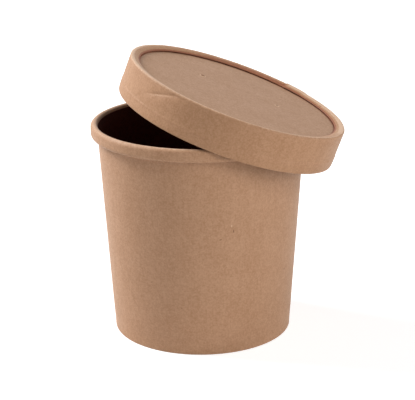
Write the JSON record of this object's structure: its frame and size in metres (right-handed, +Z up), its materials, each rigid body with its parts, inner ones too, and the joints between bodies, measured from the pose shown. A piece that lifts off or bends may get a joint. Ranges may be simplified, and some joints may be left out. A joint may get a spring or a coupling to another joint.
{
  "type": "takeaway soup container",
  "caption": "Round brown paper soup cup, empty, with a rolled rim and a recessed paper lid resting ajar and tilted on the rim.",
  "frame": {"origin": "on the ground under the middle of the whole object's outline, so the cup's own axis stands 7.3 mm towards -X", "axes": "+Z up along the cup's axis, +X the way the lid tilts down, +Y completes a right-handed frame"},
  "size_m": [0.1126, 0.1001, 0.1269],
  "materials": {
    "brown_paper": "matt unbleached paperboard with fine fibres",
    "lid_panel_paper": "matt unbleached paperboard, slightly greyer",
    "dark_lining": "dark brown lined paperboard, low sheen"
  },
  "bodies": {
    "root": {"cup_wall": "brown_paper", "cup_base": "dark_lining", "lid_band": "brown_paper", "lid_disc": "lid_panel_paper"}
  },
  "joints": []
}
